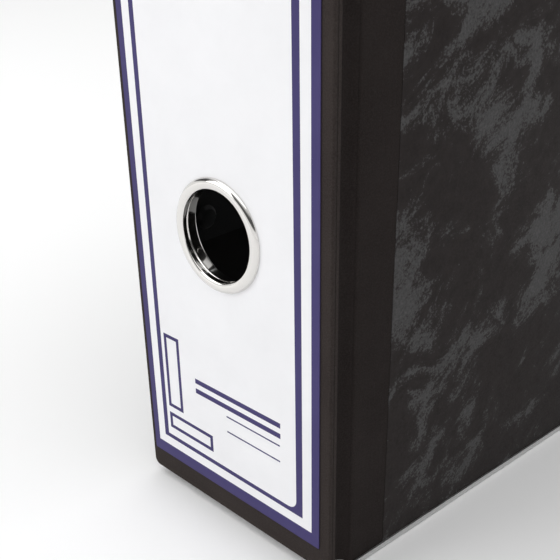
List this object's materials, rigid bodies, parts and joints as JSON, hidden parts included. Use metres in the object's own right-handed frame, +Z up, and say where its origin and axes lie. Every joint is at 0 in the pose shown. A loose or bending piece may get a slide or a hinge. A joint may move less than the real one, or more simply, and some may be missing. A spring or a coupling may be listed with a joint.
{
  "type": "lever arch file",
  "caption": "Upright lever arch file: cloth and marbled board case with a finger ring in the spine and a lever arch mechanism on the back cover.",
  "frame": {"origin": "centre of the bounding box's bottom, on the surface that the file stands on", "axes": "+Z up along the file's height, -Y out of the spine's face, +X from the back cover to the front cover"},
  "size_m": [0.112, 0.2868, 0.318],
  "materials": {
    "grey_board": "raw grey board",
    "cloth": "matt black book cloth, fine weave",
    "marbled_paper": "black and grey marbled paper, satin",
    "lining_paper": "matt black paper",
    "label_paper": "white paper with a printed purple frame",
    "nickel": "bright nickel plate",
    "black_lacquer": "satin black lacquered steel",
    "zinc_steel": "zinc plated steel",
    "strip_metal": "satin metal strip",
    "spring_steel": "dull spring steel",
    "black_plastic": "moulded black plastic"
  },
  "bodies": {
    "back_cover": {"back_board": "grey_board", "back_cloth": "cloth", "back_paper": "marbled_paper", "back_lining": "lining_paper", "back_edge_strip": "strip_metal", "base_plate": "black_lacquer", "rivet_lower_near": "black_lacquer", "rivet_lower_far": "black_lacquer", "rivet_upper_near": "black_lacquer", "rivet_upper_far": "black_lacquer", "post_lower": "nickel", "post_upper": "nickel", "lever_pin": "zinc_steel", "leaf_spring": "spring_steel", "spring_rivet": "black_lacquer"},
    "spine": {"spine_board": "grey_board", "spine_cloth": "cloth", "spine_lining": "lining_paper", "spine_label": "label_paper", "finger_ring": "nickel", "ring_washer": "zinc_steel", "back_crease_cloth": "cloth", "front_crease_cloth": "cloth"},
    "front_cover": {"front_board": "grey_board", "front_cloth": "cloth", "front_paper": "marbled_paper", "front_lining": "lining_paper", "front_edge_strip": "strip_metal"},
    "lever": {"lever": "nickel", "roller_pin": "zinc_steel"},
    "roller": {"lever_roller": "nickel"},
    "arch_bow": {"arch_bow": "nickel"},
    "compressor": {"compressor_bar": "zinc_steel", "bar_bush_lower": "black_plastic", "bar_bush_upper": "black_plastic"}
  },
  "joints": [
    {"name": "spine_hinge", "type": "hinge", "parent": "back_cover", "child": "spine", "pos_m": [-0.05372, -0.13665, 0.159], "axis": [0, 0, -1], "range_deg": [0, 90]},
    {"name": "front_cover_hinge", "type": "hinge", "parent": "spine", "child": "front_cover", "pos_m": [0.02328, -0.13665, 0.159], "axis": [0, 0, -1], "range_deg": [-6.3, 100]},
    {"name": "lever_hinge", "type": "hinge", "parent": "back_cover", "child": "lever", "pos_m": [-0.03932, -0.09075, 0.159], "axis": [0, 0, 1], "range_deg": [0, 60]},
    {"name": "bow_hinge", "type": "hinge", "parent": "back_cover", "child": "arch_bow", "pos_m": [-0.04862, -0.11475, 0.159], "axis": [0, 0, -1], "range_deg": [0, 32]},
    {"name": "roller_spin", "type": "hinge", "parent": "lever", "child": "roller", "pos_m": [-0.03932, -0.0991, 0.159], "axis": [0, 0, 1], "continuous": true},
    {"name": "compressor_slide", "type": "slide", "parent": "back_cover", "child": "compressor", "axis": [1, 0, 0], "range_m": [-0.003, 0.016]}
  ],
  "couplings": [
    {"joint": "bow_hinge", "follows": "lever_hinge", "ratio": 0.53333}
  ]
}
